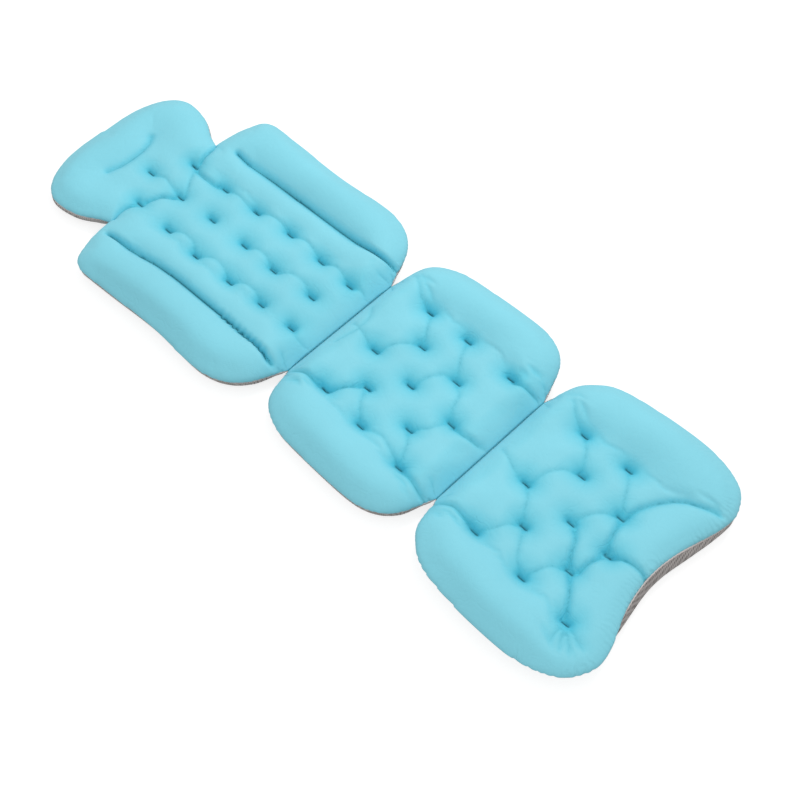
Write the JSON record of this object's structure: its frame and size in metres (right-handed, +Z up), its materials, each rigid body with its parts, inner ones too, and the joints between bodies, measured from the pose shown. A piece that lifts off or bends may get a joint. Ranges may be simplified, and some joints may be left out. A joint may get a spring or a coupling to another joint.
{
  "type": "full-length bath pillow",
  "caption": "Quilted full-length bath pillow: head, back, seat and leg pads that fold at three seams, with suction cups below.",
  "frame": {"origin": "centre of the whole mat in plan, on the surface that its suction cups stand on", "axes": "+X along the mat from the head to the feet, +Y across it to the left of whoever lies on it, +Z up from the tub's floor through the pad"},
  "size_m": [1.2536, 0.4508, 0.0538],
  "materials": {
    "cover": "smooth matte stretch knit, tufted and softly creased",
    "filling": "white polyester fibre",
    "mesh_base": "ribbed warm grey air mesh",
    "binding": "narrow folded grey tape",
    "seam_web": "flat sewn seam",
    "patch": "dense woven disc",
    "suction_cup": "clear soft vinyl, glossy"
  },
  "bodies": {
    "head": {"head_cover": "cover", "head_filling": "filling", "head_mesh_base": "mesh_base", "head_binding": "binding", "head_left_suction_cup": "suction_cup", "head_left_cup_patch": "patch", "head_right_suction_cup": "suction_cup", "head_right_cup_patch": "patch"},
    "back": {"back_cover": "cover", "back_filling": "filling", "back_mesh_base": "mesh_base", "back_binding_left": "binding", "back_binding_right": "binding", "neck_seam_web": "seam_web", "back_upper_left_suction_cup": "suction_cup", "back_upper_left_cup_patch": "patch", "back_upper_right_suction_cup": "suction_cup", "back_upper_right_cup_patch": "patch", "back_lower_left_suction_cup": "suction_cup", "back_lower_left_cup_patch": "patch", "back_lower_right_suction_cup": "suction_cup", "back_lower_right_cup_patch": "patch"},
    "seat": {"seat_cover": "cover", "seat_filling": "filling", "seat_mesh_base": "mesh_base", "seat_binding_left": "binding", "seat_binding_right": "binding", "back_seam_web": "seam_web", "leg_seam_web": "seam_web", "seat_upper_left_suction_cup": "suction_cup", "seat_upper_left_cup_patch": "patch", "seat_upper_right_suction_cup": "suction_cup", "seat_upper_right_cup_patch": "patch", "seat_lower_left_suction_cup": "suction_cup", "seat_lower_left_cup_patch": "patch", "seat_lower_right_suction_cup": "suction_cup", "seat_lower_right_cup_patch": "patch"},
    "leg": {"leg_cover": "cover", "leg_filling": "filling", "leg_mesh_base": "mesh_base", "leg_binding": "binding", "leg_upper_left_suction_cup": "suction_cup", "leg_upper_left_cup_patch": "patch", "leg_upper_right_suction_cup": "suction_cup", "leg_upper_right_cup_patch": "patch", "leg_lower_left_suction_cup": "suction_cup", "leg_lower_left_cup_patch": "patch", "leg_lower_right_suction_cup": "suction_cup", "leg_lower_right_cup_patch": "patch"}
  },
  "joints": [
    {"name": "back_fold", "type": "hinge", "parent": "seat", "child": "back", "pos_m": [-0.0415, 0, 0.019], "axis": [0, 1, 0], "range_deg": [-90, 75]},
    {"name": "leg_fold", "type": "hinge", "parent": "seat", "child": "leg", "pos_m": [0.2855, 0, 0.019], "axis": [0, -1, 0], "range_deg": [-90, 75]},
    {"name": "neck_fold", "type": "hinge", "parent": "back", "child": "head", "pos_m": [-0.4605, 0, 0.019], "axis": [0, 1, 0], "range_deg": [-30, 30]}
  ]
}
